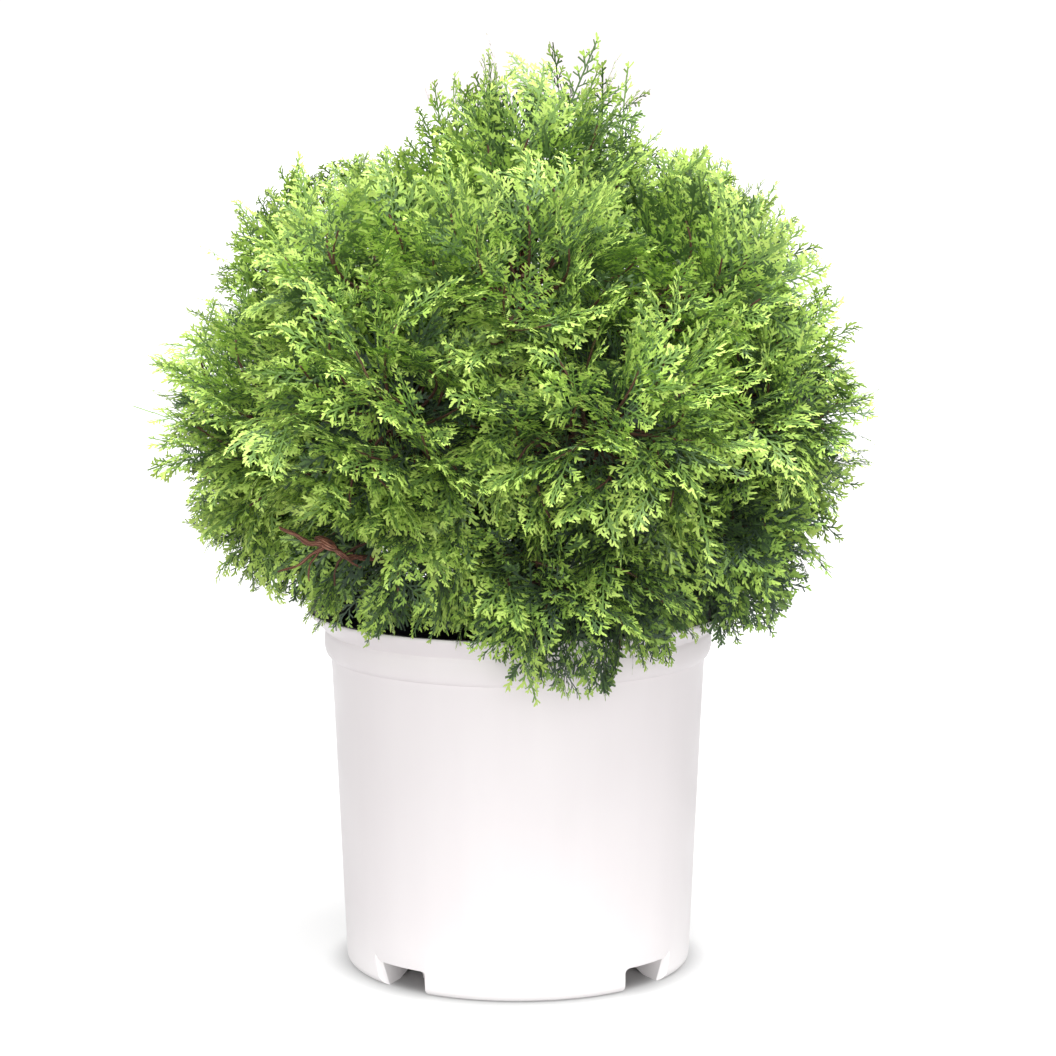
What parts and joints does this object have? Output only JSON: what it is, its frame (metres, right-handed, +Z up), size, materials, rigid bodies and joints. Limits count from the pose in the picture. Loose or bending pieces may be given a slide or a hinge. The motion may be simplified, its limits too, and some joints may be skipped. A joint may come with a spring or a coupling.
{
  "type": "potted eastern arborvitae",
  "caption": "Dense globe-shaped conifer shrub with flat fan sprays of scale leaves on a short leaning trunk, growing in a round tapered nursery pot full of potting mix",
  "frame": {"origin": "centre of the pot's flat underside, which stands on the ground", "axes": "+Z up along the pot's axis, -Y towards the front of the pot, +X to its right seen from the front"},
  "size_m": [0.4566, 0.4818, 0.6138],
  "materials": {
    "pot": "satin white",
    "potting_mix": "crumbly, damp",
    "bark": "rough, fibrous",
    "foliage": "satin leaves"
  },
  "bodies": {
    "root": {"pot": "pot", "potting_mix": "potting_mix", "trunk": "bark", "bough_upper_1": "bark", "bough_upper_2": "bark", "bough_upper_3": "bark", "bough_upper_4": "bark", "bough_upper_5": "bark", "bough_upper_6": "bark", "bough_middle_1": "bark", "bough_middle_2": "bark", "bough_middle_3": "bark", "bough_middle_4": "bark", "bough_middle_5": "bark", "bough_middle_6": "bark", "bough_middle_7": "bark", "bough_lower_1": "bark", "bough_lower_2": "bark", "bough_lower_3": "bark", "bough_lower_4": "bark", "bough_lower_5": "bark", "bough_lower_6": "bark", "bough_lower_7": "bark", "foliage_top_1": "foliage", "foliage_upper_1": "foliage", "foliage_upper_2": "foliage", "foliage_upper_3": "foliage", "foliage_upper_4": "foliage", "foliage_upper_5": "foliage", "foliage_upper_6": "foliage", "foliage_middle_1": "foliage", "foliage_middle_2": "foliage", "foliage_middle_3": "foliage", "foliage_middle_4": "foliage", "foliage_middle_5": "foliage", "foliage_middle_6": "foliage", "foliage_middle_7": "foliage", "foliage_lower_1": "foliage", "foliage_lower_2": "foliage", "foliage_lower_3": "foliage", "foliage_lower_4": "foliage", "foliage_lower_5": "foliage", "foliage_lower_6": "foliage", "foliage_lower_7": "foliage"}
  },
  "joints": []
}
